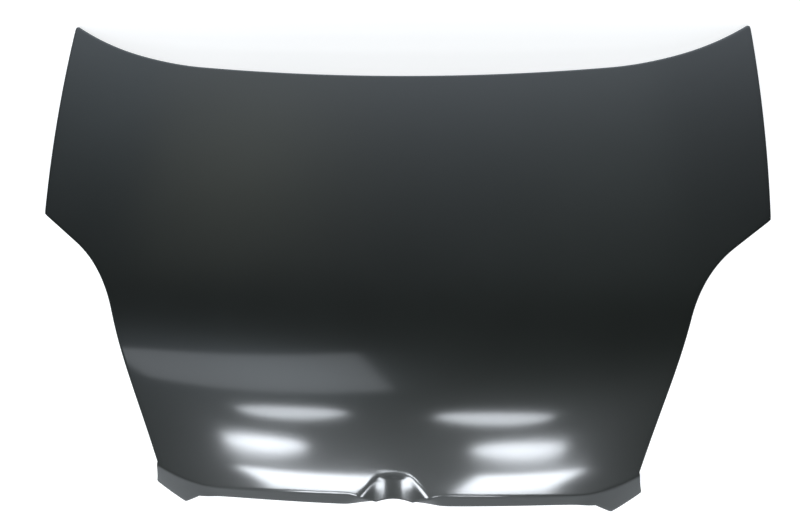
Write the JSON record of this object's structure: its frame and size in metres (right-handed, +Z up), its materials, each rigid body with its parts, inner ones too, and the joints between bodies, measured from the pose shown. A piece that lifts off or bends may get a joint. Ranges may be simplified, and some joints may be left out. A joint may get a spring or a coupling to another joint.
{
  "type": "car bonnet",
  "caption": "Pressed steel car bonnet with lamp cut-outs, lower ears and a bare scallop at the nose, hemmed over a ribbed inner frame with hinge pads and a striker.",
  "frame": {"origin": "on the floor under the middle of the bonnet, which lies skin up on its rear tips and front ears", "axes": "+X across the car to the right of the picture, -Y towards the nose, +Y towards the windscreen edge, +Z up"},
  "size_m": [1.4392, 0.9802, 0.1762],
  "materials": {
    "skin": "satin black electrocoat primer on pressed steel",
    "frame": "duller black electrocoat primer on the inner pressing",
    "hardware": "black electrocoat primer over welded steel plates, nuts and rod",
    "mastic": "matt baked anti-flutter mastic"
  },
  "bodies": {
    "root": {"outer_skin": "skin", "inner_frame": "frame", "hinge_reinforcement_right": "hardware", "hinge_weld_nut_right_front": "hardware", "hinge_weld_nut_right_rear": "hardware", "hinge_reinforcement_left": "hardware", "hinge_weld_nut_left_front": "hardware", "hinge_weld_nut_left_rear": "hardware", "striker_reinforcement": "hardware", "striker_plate": "hardware", "striker_loop": "hardware", "mastic_dab_rear_right_1": "mastic", "mastic_dab_rear_right_2": "mastic", "mastic_dab_middle_right_1": "mastic", "mastic_dab_middle_right_2": "mastic", "mastic_dab_middle_right_3": "mastic", "mastic_dab_corner_right_1": "mastic", "mastic_dab_side_right_1": "mastic", "mastic_dab_side_right_2": "mastic", "mastic_dab_side_right_3": "mastic", "mastic_dab_rear_left_1": "mastic", "mastic_dab_rear_left_2": "mastic", "mastic_dab_middle_left_1": "mastic", "mastic_dab_middle_left_2": "mastic", "mastic_dab_middle_left_3": "mastic", "mastic_dab_corner_left_1": "mastic", "mastic_dab_side_left_1": "mastic", "mastic_dab_side_left_2": "mastic", "mastic_dab_side_left_3": "mastic"}
  },
  "joints": []
}
